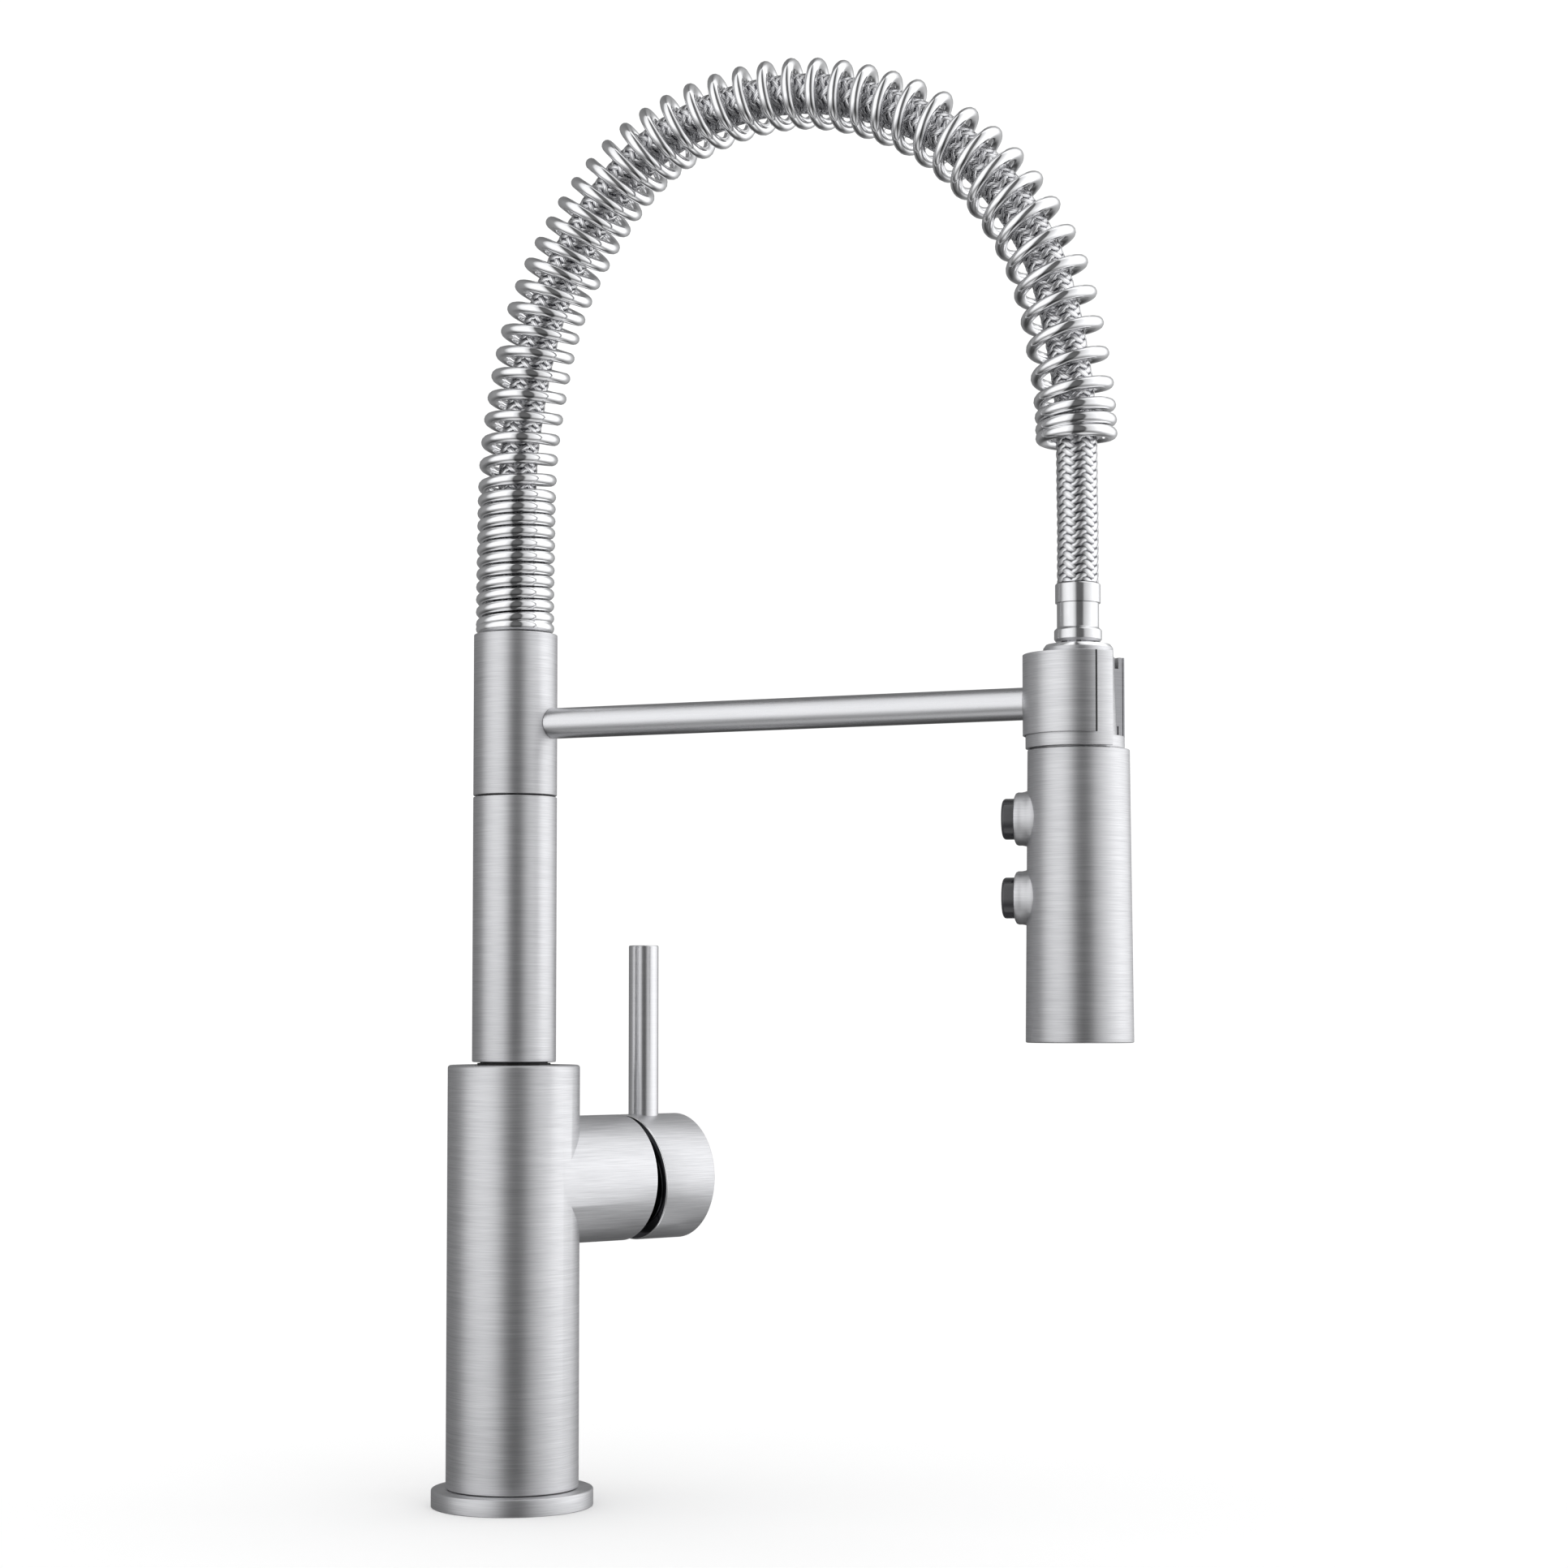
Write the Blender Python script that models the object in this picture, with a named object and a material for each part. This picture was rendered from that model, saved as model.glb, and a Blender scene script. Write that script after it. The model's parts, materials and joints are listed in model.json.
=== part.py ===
"""Pull-down kitchen faucet with a spring arch, a docked spray head and a side lever.

Origin: centre of the base on the deck.  +Z up, +X along the spray arm at rest.
Lengths below are millimetres; MM turns them into metres.
"""

import math

import bmesh
import bpy
import numpy as np
from mathutils import Matrix, Vector

MM = 0.001
SIDES = 20
ROUND_SIDES = 36

# Base and body
FLANGE_R = 28.8
FLANGE_TOP = 6.2
BODY_R = 23.6
BODY_LOW = 6.5
BODY_TOP = 156.2
BODY_HOLLOW_R = 19.5
BODY_HOLLOW_TOP = 86.0
SWIVEL_BORE_R = 16.5
SWIVEL_BORE_LOW = 138.0
BLOCK_R = 17.6
BLOCK_TOP = 24.0

# Column, sleeve and arm
COLUMN_R = 15.0
COLUMN_BORE_R = 12.5
FIT_R = 12.2
COLUMN_LOW = 157.3
COLUMN_SEAM = 252.2
SLEEVE_LOW = 252.7
SLEEVE_TOP = 310.8
STEM_R = 13.2
ARM_R = 5.5
ARM_Z = 278.3
SCREW_R = 2.3
SCREW_HOLE_R = 2.6

# Handle: distances along its axis start at the column's axis
HANDLE_Z = 114.5
HANDLE_TURN = math.radians(64.0)
HOUSING_R = 23.0
HOUSING_END = 47.5
CARTRIDGE_BORE_R = 18.0
NUT_BORE_R = 20.0
SEAT = 2.2
NUT_SEAT = 31.0
TILT_PIVOT = 24.0
KNOB_FACE = 51.6
KNOB_FACE_BEVEL = 0.4
KNOB_FACE_SLOPE = 0.1
KNOB_END = 74.2
LEVER_D = 58.6
LEVER_TOP = 199.7
PORT_OFFSETS = ((-8.0, 8.5, 2.8, -9.0), (-8.0, -8.5, 2.8, -9.0), (9.0, 0.0, 3.4, -2.0))
INLET_D = -7.0
INLET_Y = 8.5
STUD_D = 11.0

# Spray head, docked in its holder
SPRAY_X = 212.5
HOLDER_R = 18.5
HOLDER_WALL = 0.6
HOLDER_LOW = 266.9
HOLDER_TOP = 293.9
LINER_R = 17.6
LINER_LOW = 262.6
# The holder is open to the side, from near the front round to the back: degrees about +X
OPENING_BACK = 51.6
SHELL_OPENING_FRONT = -54.0
LINER_OPENING_FRONT = -32.0
HEAD_TOP = 262.1
HEAD_TOP_R = 16.95
HEAD_LOW = 165.0
HEAD_LOW_R = 17.9
HEAD_WALL = 1.8
HEAD_TURN = math.radians(-168.25)
BUTTON_HEIGHTS = {"upper": 239.4, "lower": 213.1}

# Hose and spring
HOSE_R = 6.95
HOSE_END_Z = 317.9
HOSE_LOW_Z = 284.3
SPRING_R = 12.2
WIRE_R = 1.95
# Both ends of the spring are at the back; sections of the wire as (turns, pitch)
SPRING_START = 28.9
SPRING_START_TURN = 0.25
SPRING_SECTIONS = (
    (11.25, 4.44),
    (19.0, 7.79),
    (10.0, 8.92),
    (12.0, 10.19),
    (1.0, 6.7),
    (2.75, 4.05),
)
# The turns narrow where the arch bends most, and a little towards the far end
NARROWING = 1.65
NARROWEST_AT = 282.0
NARROW_SPAN = 60.0
END_NARROWING = 0.35
# (x, z) of the arch's centre line, from the column's fitting over to the spray head
ARCH = (
    (0.0, HOSE_LOW_Z),
    (-0.2, 335.0),
    (2.5, 387.0),
    (17.6, 439.3),
    (55.0, 482.7),
    (110.0, 495.5),
    (163.1, 476.5),
    (197.4, 436.4),
    (210.6, 388.2),
    (SPRAY_X, 345.0),
    (SPRAY_X, HOSE_END_Z),
)

# Finishes: colour, roughness, metallic
BRUSHED = ((0.62, 0.62, 0.64), 0.32, 1.0)
POLISHED = ((0.80, 0.80, 0.82), 0.08, 1.0)
BRASS = ((0.72, 0.55, 0.28), 0.35, 1.0)
STEEL = ((0.55, 0.55, 0.57), 0.30, 1.0)
BRAID = ((0.50, 0.50, 0.52), 0.40, 1.0)
PLASTIC = ((0.75, 0.75, 0.73), 0.50, 0.0)
DARK_PLASTIC = ((0.05, 0.05, 0.055), 0.25, 0.0)
RUBBER = ((0.03, 0.03, 0.03), 0.70, 0.0)
CERAMIC = ((0.90, 0.90, 0.88), 0.20, 0.0)


def clear_scene():
    for thing in list(bpy.data.objects):
        bpy.data.objects.remove(thing, do_unlink=True)


def finished(name, mesh, finish, parent=None):
    """Link a mesh as an object with its own material, in its parent's frame."""
    thing = bpy.data.objects.new(name, mesh)
    bpy.context.scene.collection.objects.link(thing)
    thing.parent = parent
    colour, roughness, metallic = finish
    material = bpy.data.materials.new(name + "_finish")
    material.use_nodes = True
    shader = material.node_tree.nodes["Principled BSDF"]
    shader.inputs["Base Color"].default_value = (*colour, 1.0)
    shader.inputs["Roughness"].default_value = roughness
    shader.inputs["Metallic"].default_value = metallic
    mesh.materials.append(material)
    return thing


def empty(name, location, rotation, parent=None):
    guide = bpy.data.objects.new(name, None)
    bpy.context.scene.collection.objects.link(guide)
    guide.parent = parent
    guide.matrix_local = Matrix.Translation(Vector(location) * MM) @ rotation
    return guide


def as_mesh(bm, name):
    bmesh.ops.recalc_face_normals(bm, faces=bm.faces)
    mesh = bpy.data.meshes.new(name)
    bm.to_mesh(mesh)
    bm.free()
    mesh.shade_smooth()
    mesh.set_sharp_from_angle(angle=math.radians(35.0))
    return mesh


def turned_mesh(name, outline, sides=SIDES, start=0.0, sweep=360.0):
    """Spin an (r, z) outline about Z.  An outline that starts on the axis is a solid."""
    bm = bmesh.new()
    turn = Matrix.Rotation(math.radians(start), 3, "Z")
    points = [bm.verts.new(turn @ Vector((r, 0.0, z)) * MM) for r, z in outline]
    edges = [bm.edges.new(pair) for pair in zip(points, points[1:])]
    if outline[0][0] > 0.0:
        edges.append(bm.edges.new((points[-1], points[0])))
    spun = bmesh.ops.spin(
        bm, geom=points + edges, cent=(0, 0, 0), axis=(0, 0, 1),
        angle=math.radians(sweep), steps=sides,
    )
    if sweep < 360.0:
        last = [item for item in spun["geom_last"] if isinstance(item, bmesh.types.BMVert)]
        bm.faces.new(points)
        bm.faces.new(last)
    bmesh.ops.remove_doubles(bm, verts=bm.verts, dist=1e-7)
    return as_mesh(bm, name)


def turned(name, outline, finish, parent=None, **spin):
    return finished(name, turned_mesh(name, outline, **spin), finish, parent)


def ring(name, inner, outer, low, high, finish, parent=None, **spin):
    outline = ((inner, low), (outer, low), (outer, high), (inner, high))
    return turned(name, outline, finish, parent, **spin)


def o_ring(name, inner, outer, z, finish, parent=None):
    """A round-section seal centred at height z."""
    bead = (outer - inner) / 2.0
    corners = [math.pi * (2 * k + 1) / 6.0 for k in range(6)]
    outline = [(inner + bead + bead * math.cos(a), z + bead * math.sin(a)) for a in corners]
    return turned(name, outline, finish, parent, sides=16)


def aim(thing, origin, direction):
    """Stand an object's Z along a direction of its parent's frame."""
    thing.location = Vector(origin) * MM
    thing.rotation_mode = "QUATERNION"
    thing.rotation_quaternion = Vector(direction).to_track_quat("Z", "Y")
    return thing


def block_mesh(name, low, high):
    bm = bmesh.new()
    size = [b - a for a, b in zip(low, high)]
    middle = [(a + b) / 2.0 for a, b in zip(low, high)]
    place = Matrix.Translation(Vector(middle) * MM) @ Matrix.Diagonal((*size, 1.0))
    bmesh.ops.create_cube(bm, size=MM, matrix=place)
    return as_mesh(bm, name)


def cutter(name, mesh, parent=None):
    guide = bpy.data.objects.new(name, mesh)
    bpy.context.scene.collection.objects.link(guide)
    guide.parent = parent
    guide.hide_render = True
    guide.display_type = "WIRE"
    return guide


def drill(name, radius, low, high, parent=None, origin=(0, 0, 0), direction=(0, 0, 1), sides=16):
    outline = ((0.0, low), (radius, low), (radius, high), (0.0, high))
    guide = cutter(name, turned_mesh(name, outline, sides=sides), parent)
    return aim(guide, origin, direction)


def combine(thing, guide, operation="DIFFERENCE"):
    modifier = thing.modifiers.new(guide.name, "BOOLEAN")
    modifier.operation = operation
    modifier.solver = "EXACT"
    modifier.object = guide
    return thing


# ---- base, body and waterways ------------------------------------------------


def handle_point(along, across, z=0.0):
    """World place of a point given in the handle's plan: along its axis and across it."""
    c = math.cos(HANDLE_TURN)
    s = math.sin(HANDLE_TURN)
    return (along * c + across * s, along * s - across * c, z)


def make_base():
    outline = (
        (18.0, 0.0), (21.8, 0.0), (21.8, 1.6), (25.9, 1.6), (25.9, 0.0), (28.5, 0.0),
        (FLANGE_R, 0.4), (FLANGE_R, 5.6), (28.2, FLANGE_TOP), (18.0, FLANGE_TOP),
    )
    turned("base_flange", outline, BRUSHED, sides=ROUND_SIDES)
    ring("base_gasket", 22.1, 25.6, 0.0, 1.3, RUBBER, sides=ROUND_SIDES)
    block = turned(
        "inlet_block", ((0.0, 0.0), (BLOCK_R, 0.0), (BLOCK_R, BLOCK_TOP), (0.0, BLOCK_TOP)), BRASS
    )
    socket = (
        (0.0, -1.0), (5.0, -1.0), (5.0, 14.0), (3.0, 14.0),
        (3.0, 16.2), (4.5, 16.2), (4.5, 25.0), (0.0, 25.0),
    )
    for label, across in (("hot", INLET_Y), ("cold", -INLET_Y)):
        place = handle_point(INLET_D, across)
        guide = cutter(f"socket_{label}", turned_mesh("socket", socket))
        combine(block, aim(guide, place, (0, 0, 1)))
        tube = ring(f"transfer_tube_{label}", 3.2, 4.2, 16.5, 91.4, STEEL, sides=20)
        aim(tube, place, (0, 0, 1))
    combine(block, drill("stud_socket", 3.5, -1.0, 16.0, origin=handle_point(STUD_D, 0.0)))


def make_body(handle, ports):
    outline = (
        (0.0, BODY_LOW), (BODY_R - 0.5, BODY_LOW), (BODY_R, BODY_LOW + 0.5),
        (BODY_R, BODY_TOP - 0.9), (BODY_R - 0.9, BODY_TOP), (0.0, BODY_TOP),
    )
    body = turned("main_body", outline, BRUSHED, sides=ROUND_SIDES)
    housing = (
        (0.0, 0.0), (HOUSING_R, 0.0), (HOUSING_R, HOUSING_END - 0.5),
        (HOUSING_R - 0.5, HOUSING_END), (0.0, HOUSING_END),
    )
    bore = (
        (0.0, SEAT), (CARTRIDGE_BORE_R, SEAT), (CARTRIDGE_BORE_R, NUT_SEAT),
        (NUT_BORE_R, NUT_SEAT), (NUT_BORE_R, HOUSING_END + 3.0), (0.0, HOUSING_END + 3.0),
    )
    swivel_bore = (
        (0.0, SWIVEL_BORE_LOW), (SWIVEL_BORE_R, SWIVEL_BORE_LOW), (SWIVEL_BORE_R, 140.2),
        (17.4, 140.2), (17.4, 141.8), (SWIVEL_BORE_R, 141.8), (SWIVEL_BORE_R, BODY_TOP + 2.0),
        (0.0, BODY_TOP + 2.0),
    )
    combine(body, cutter("housing", turned_mesh("housing", housing, sides=ROUND_SIDES), handle), "UNION")
    combine(body, cutter("cartridge_bore", turned_mesh("cartridge_bore", bore), handle))
    combine(body, cutter("swivel_bore", turned_mesh("swivel_bore", swivel_bore)))
    combine(body, drill("body_hollow", BODY_HOLLOW_R, 0.0, BODY_HOLLOW_TOP, sides=SIDES))
    combine(body, drill("outlet_way", 5.0, 121.0, SWIVEL_BORE_LOW + 1.0))
    riser = (
        (0.0, 80.0), (4.5, 80.0), (4.5, 91.7), (3.4, 91.7), (3.4, 107.0), (0.0, 107.0),
    )
    for label, across in (("hot", INLET_Y), ("cold", -INLET_Y)):
        guide = cutter(f"riser_{label}", turned_mesh("riser", riser, sides=20))
        combine(body, aim(guide, handle_point(INLET_D, across), (0, 0, 1)))
    for port in ports:
        combine(body, port)


def make_swivel_parts():
    ring("swivel_bushing_lower", 13.5, 16.2, 142.2, 145.4, PLASTIC)
    ring("swivel_bushing_upper", 13.5, 16.2, 152.0, 155.8, PLASTIC)
    o_ring("swivel_seal_lower", 13.5, 16.2, 147.2, RUBBER)
    o_ring("swivel_seal_upper", 13.5, 16.2, 150.3, RUBBER)
    ring("swivel_clip", 12.8, 17.1, 140.5, 141.5, STEEL, start=20.0, sweep=320.0)


# ---- cartridge and lever, in the handle's frame: Z along its axis, X up ----------


def make_ports(handle):
    return [
        drill(f"port_{k}", radius, low, 10.1, handle, (up, across, 0.0), sides=16)
        for k, (up, across, radius, low) in enumerate(PORT_OFFSETS)
    ]


def make_cartridge(handle, ports):
    gasket = turned("cartridge_gasket", ((0, 2.5), (17.2, 2.5), (17.2, 3.3), (0, 3.3)), RUBBER, handle)
    cup = turned(
        "cartridge_body",
        ((0, 3.6), (17.5, 3.6), (17.5, 30.7), (14.8, 30.7), (14.8, 6.6), (0, 6.6)),
        PLASTIC, handle,
    )
    disc = turned("fixed_disc", ((0, 6.9), (14.4, 6.9), (14.4, 9.9), (0, 9.9)), CERAMIC, handle)
    for piece in (gasket, cup, disc):
        for port in ports:
            combine(piece, port)
    turned(
        "moving_disc",
        ((0, 10.2), (11.3, 10.2), (11.3, 14.4), (3.1, 14.4), (3.1, 11.8), (0, 11.8)),
        CERAMIC, handle,
    )
    ring("cartridge_nut", 11.5, 19.7, 31.2, 38.0, BRASS, handle)
    outline = (
        (17.0, 38.4), (19.7, 38.4), (19.7, 46.8), (19.3, 47.2), (18.0, 47.2), (18.0, 50.2),
        (17.0, 50.2),
    )
    turned("trim_ring", outline, POLISHED, handle)


def make_stem_carrier(tilt):
    carrier = turned(
        "stem_carrier", ((0, -7.0), (14.5, -7.0), (14.5, 6.6), (0, 6.6)), PLASTIC, tilt
    )
    slot = cutter("carrier_slot", block_mesh("carrier_slot", (-6.5, -4.1, -9.0), (6.5, 4.1, 9.0)), tilt)
    combine(carrier, slot)
    across = (0, 1, 0)
    combine(carrier, drill("carrier_pin_hole", 1.65, -20.0, 20.0, tilt, direction=across, sides=16))
    pin = ((0, -13.3), (1.5, -13.3), (1.5, 13.3), (0, 13.3))
    aim(turned("pivot_pin", pin, STEEL, tilt, sides=16), (0, 0, 0), across)


def make_lever(tilt):
    stem = finished("lever_stem", block_mesh("lever_stem", (-3.7, -3.7, -7.5), (3.7, 3.7, 36.5)), STEEL, tilt)
    combine(stem, drill("stem_tip", 2.3, -11.8, -5.0, tilt, sides=16), "UNION")
    combine(stem, drill("stem_pin_hole", 1.75, -9.0, 9.0, tilt, direction=(0, 1, 0), sides=16))

    face = KNOB_FACE - TILT_PIVOT
    end = KNOB_END - TILT_PIVOT
    lever_z = LEVER_D - TILT_PIVOT
    knob = turned(
        "lever_knob",
        (
            (0, 28.5), (9.0, 28.5), (9.0, 31.0), (19.5, 31.0), (19.5, face),
            (HOUSING_R - KNOB_FACE_BEVEL, face), (HOUSING_R, face + KNOB_FACE_BEVEL),
            (HOUSING_R, end - 0.4), (HOUSING_R - 0.4, end), (0, end),
        ),
        BRUSHED, tilt, sides=ROUND_SIDES,
    )
    for vertex in knob.data.vertices:
        if vertex.co.z < (face + KNOB_FACE_BEVEL + 0.1) * MM:
            vertex.co.z -= KNOB_FACE_SLOPE * vertex.co.x
    socket = block_mesh("stem_socket", (-4.0, -4.0, 27.0), (4.0, 4.0, 37.0))
    combine(knob, cutter("stem_socket", socket, tilt))
    up = (1, 0, 0)
    here = (0, 0, lever_z)
    combine(knob, drill("stud_hole", 3.1, 10.0, 25.0, tilt, here, up))
    combine(knob, drill("set_screw_hole", 2.4, -25.0, -3.5, tilt, here, up, sides=16))

    length = LEVER_TOP - HANDLE_Z
    rod = turned(
        "lever_rod",
        ((0, 18.0), (ARM_R, 18.0), (ARM_R, length - 0.5), (ARM_R - 0.5, length), (0, length)),
        BRUSHED, tilt,
    )
    aim(rod, here, up)
    combine(rod, drill("knob_saddle", HOUSING_R + 0.3, 20.0, 50.0, tilt, sides=ROUND_SIDES))
    combine(rod, drill("rod_stud_hole", 3.1, 15.0, 38.5, tilt, here, up))
    stud = ((0, 10.3), (2.7, 10.3), (2.7, 38.0), (0, 38.0))
    aim(turned("lever_stud", stud, STEEL, tilt, sides=20), here, up)
    grub = ((0, -13.0), (2.1, -13.0), (2.1, -4.2), (0, -4.2))
    aim(turned("knob_set_screw", grub, STEEL, tilt, sides=16), here, up)


# ---- swivelling column, arm and holder ---------------------------------------------


def make_column():
    turned(
        "swivel_stem",
        (
            (9.0, 138.4), (STEM_R, 138.4), (STEM_R, 140.2), (12.4, 140.2), (12.4, 141.8),
            (STEM_R, 141.8), (STEM_R, 156.9), (FIT_R, 156.9), (FIT_R, 172.0), (9.0, 172.0),
        ),
        BRASS,
    )
    tube_wall(name="column_tube", low=COLUMN_LOW, high=COLUMN_SEAM)
    ring("column_coupler", 8.0, FIT_R, 236.0, 266.1, BRASS)
    sleeve = tube_wall(name="column_sleeve", low=SLEEVE_LOW, high=SLEEVE_TOP)
    combine(sleeve, drill("sleeve_screw_hole", SCREW_HOLE_R, 8.0, 18.0, None, (0, 0, ARM_Z), (1, 0, 0), 16))


def tube_wall(name, low, high):
    outline = (
        (COLUMN_BORE_R, low), (COLUMN_R - 0.4, low), (COLUMN_R, low + 0.4),
        (COLUMN_R, high - 0.4), (COLUMN_R - 0.4, high), (COLUMN_BORE_R, high),
    )
    return turned(name, outline, BRUSHED)


def screw(name, head_x, reach):
    """A pan-head screw along X, its head's outer face at head_x and its thread to reach."""
    way = 1.0 if reach > head_x else -1.0
    length = abs(reach - head_x)
    outline = ((0, 0), (4.0, 0), (4.0, 1.0), (SCREW_R, 1.0), (SCREW_R, length), (0, length))
    return aim(turned(name, outline, STEEL, sides=16), (head_x, 0, ARM_Z), (way, 0, 0))


def make_arm(spray):
    along = (1, 0, 0)
    arm = turned("support_arm", ((0, 12.0), (ARM_R, 12.0), (ARM_R, 197.0), (0, 197.0)), BRUSHED)
    aim(arm, (0, 0, ARM_Z), along)
    combine(arm, drill("column_saddle", COLUMN_R + 0.3, ARM_Z - 9.0, ARM_Z + 9.0, sides=ROUND_SIDES))
    combine(arm, drill("holder_saddle", HOLDER_R + 0.3, ARM_Z - 9.0, ARM_Z + 9.0, spray, sides=ROUND_SIDES))
    origin = (0, 0, ARM_Z)
    combine(arm, drill("arm_root_thread", SCREW_HOLE_R, 10.0, 30.0, None, origin, along, 16))
    combine(arm, drill("arm_tip_thread", SCREW_HOLE_R, 180.0, 198.0, None, origin, along, 16))
    screw("arm_root_screw", 10.3, 28.0)
    screw("arm_tip_screw", 196.4, 182.0)


def make_holder(spray):
    """A thin shell clipped round a thicker liner, both open to the side for the hose."""
    shell = ring(
        "holder_shell", HOLDER_R - HOLDER_WALL, HOLDER_R, HOLDER_LOW, HOLDER_TOP, BRUSHED, spray,
        **opening(SHELL_OPENING_FRONT),
    )
    origin = (0, 0, ARM_Z)
    back = (-1, 0, 0)
    combine(shell, drill("holder_screw_hole", SCREW_HOLE_R, 12.0, 22.0, spray, origin, back, 16))
    outline = (
        (13.2, HOLDER_LOW), (15.7, HOLDER_LOW), (15.7, LINER_LOW), (LINER_R, LINER_LOW),
        (LINER_R, HOLDER_TOP), (16.1, HOLDER_TOP), (16.1, 290.1), (14.6, 290.1),
        (14.6, HOLDER_TOP), (13.2, HOLDER_TOP),
    )
    liner = turned("holder_liner", outline, BRUSHED, spray, **opening(LINER_OPENING_FRONT))
    combine(liner, drill("liner_screw_pocket", 4.4, 12.0, 18.0, spray, origin, back, 16))


def opening(front):
    """Spin limits of a ring that is open from the front edge's angle to the back edge's."""
    return {"start": OPENING_BACK, "sweep": 360.0 - OPENING_BACK + front}


# ---- hose and spring ------------------------------------------------------------------


def blend(a, b, low, high, u):
    return (a * (high - u) + b * (u - low)) / (high - low)


def arch_curve(samples_per_span=40):
    """Points of a smooth curve through ARCH, and the arc length at each."""
    knots = np.array(ARCH, float)
    padded = np.vstack((2 * knots[0] - knots[1], knots, 2 * knots[-1] - knots[-2]))
    chord = np.sqrt(np.linalg.norm(np.diff(padded, axis=0), axis=1))
    t = np.concatenate(([0.0], np.cumsum(chord)))
    points = []
    for k in range(len(knots) - 1):
        p = padded[k:k + 4]
        s = t[k:k + 4]
        for u in np.linspace(s[1], s[2], samples_per_span, endpoint=False):
            first = [blend(p[j], p[j + 1], s[j], s[j + 1], u) for j in range(3)]
            second = [blend(first[j], first[j + 1], s[j], s[j + 2], u) for j in range(2)]
            points.append(blend(second[0], second[1], s[1], s[2], u))
    points = np.array([*points, knots[-1]])
    steps = np.linalg.norm(np.diff(points, axis=0), axis=1)
    return points, np.concatenate(([0.0], np.cumsum(steps)))


def arch_frames(stations):
    """Centre, in-plane normal and tangent at each arc length along the arch."""
    points, arc = arch_curve()
    centre = np.column_stack([np.interp(stations, arc, points[:, k]) for k in (0, 1)])
    slope = np.column_stack([np.gradient(points[:, k], arc) for k in (0, 1)])
    tangent = np.column_stack([np.interp(stations, arc, slope[:, k]) for k in (0, 1)])
    tangent /= np.linalg.norm(tangent, axis=1)[:, None]
    zero = np.zeros(len(centre))
    centre3 = np.column_stack((centre[:, 0], zero, centre[:, 1]))
    tangent3 = np.column_stack((tangent[:, 0], zero, tangent[:, 1]))
    normal3 = np.column_stack((tangent[:, 1], zero, -tangent[:, 0]))
    return centre3, normal3, tangent3


def loft(name, rings, finish):
    """Close a list of equal rings of points into one solid, with a flat end at each end."""
    bm = bmesh.new()
    rows = [[bm.verts.new(Vector(p) * MM) for p in row] for row in rings]
    for low, high in zip(rows, rows[1:]):
        for k in range(len(low)):
            n = (k + 1) % len(low)
            bm.faces.new((low[k], low[n], high[n], high[k]))
    bm.faces.new(rows[0])
    bm.faces.new(rows[-1])
    return finished(name, as_mesh(bm, name), finish)


def hose_tube(name, outer, inner, sides, finish, tail=0.0):
    """A hollow tube along the whole arch; tail carries it straight down past the end."""
    total = arch_curve()[1][-1]
    centre, normal, _ = arch_frames(np.linspace(0.0, total, 44))
    if tail:
        centre = np.vstack((centre, centre[-1] - (0, 0, tail)))
        normal = np.vstack((normal, normal[-1]))
    side = np.array((0.0, 1.0, 0.0))
    turn = np.arange(sides) * 2 * math.pi / sides
    bm = bmesh.new()
    walls = []
    for radius in (outer, inner):
        rows = []
        for c, n in zip(centre, normal):
            ring_points = [c + radius * (math.cos(a) * n + math.sin(a) * side) for a in turn]
            rows.append([bm.verts.new(Vector(p) * MM) for p in ring_points])
        walls.append(rows)
        for low, high in zip(rows, rows[1:]):
            for k in range(sides):
                m = (k + 1) % sides
                bm.faces.new((low[k], low[m], high[m], high[k]))
    for end in (0, -1):
        for k in range(sides):
            m = (k + 1) % sides
            bm.faces.new((walls[0][end][k], walls[0][end][m], walls[1][end][m], walls[1][end][k]))
    return finished(name, as_mesh(bm, name), finish)


def make_spring(per_turn=8, sides=4):
    turns, pitches = np.array(SPRING_SECTIONS).T
    marks = SPRING_START + np.cumsum((0.0, *(turns * pitches)))
    count = np.linspace(0.0, turns.sum(), int(turns.sum() * per_turn) + 1)
    stations = np.interp(count, np.cumsum((0.0, *turns)), marks)
    bend = NARROWING * np.exp(-(((stations - NARROWEST_AT) / NARROW_SPAN) ** 2))
    radii = SPRING_R - bend - END_NARROWING * stations / marks[-1]
    side = np.array((0.0, 1.0, 0.0))
    corners = [2 * math.pi * k / sides for k in range(sides)]
    rings = []
    for c, n, t, turn, radius in zip(*arch_frames(stations), count, radii):
        a = 2 * math.pi * (SPRING_START_TURN + turn)
        outward = math.cos(a) * n + math.sin(a) * side
        middle = c + radius * outward
        rings.append([middle + WIRE_R * (math.cos(b) * outward + math.sin(b) * t) for b in corners])
    loft("spring_coil", rings, POLISHED)


def make_hose():
    hose_tube("hose_braid", HOSE_R, 5.9, 10, BRAID)
    hose_tube("hose_liner", 5.4, 4.0, 8, RUBBER, tail=14.0)
    turned(
        "hose_connector",
        (
            (2.2, 266.4), (FIT_R, 266.4), (FIT_R, 270.0), (7.5, 270.0),
            (7.5, 284.0), (3.4, 284.0), (3.4, 300.0), (2.2, 300.0),
        ),
        BRASS,
    )
    ring("hose_crimp_lower", 7.25, 8.6, 284.6, 299.8, STEEL)
    turned(
        "spring_seat",
        ((7.5, 300.2), (FIT_R, 300.2), (FIT_R, 310.5), (8.3, 310.5), (8.3, 322.0), (7.5, 322.0)),
        BRASS,
    )


# ---- spray head: its frame's Z is the head's axis, X points to the buttons ----------


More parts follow.
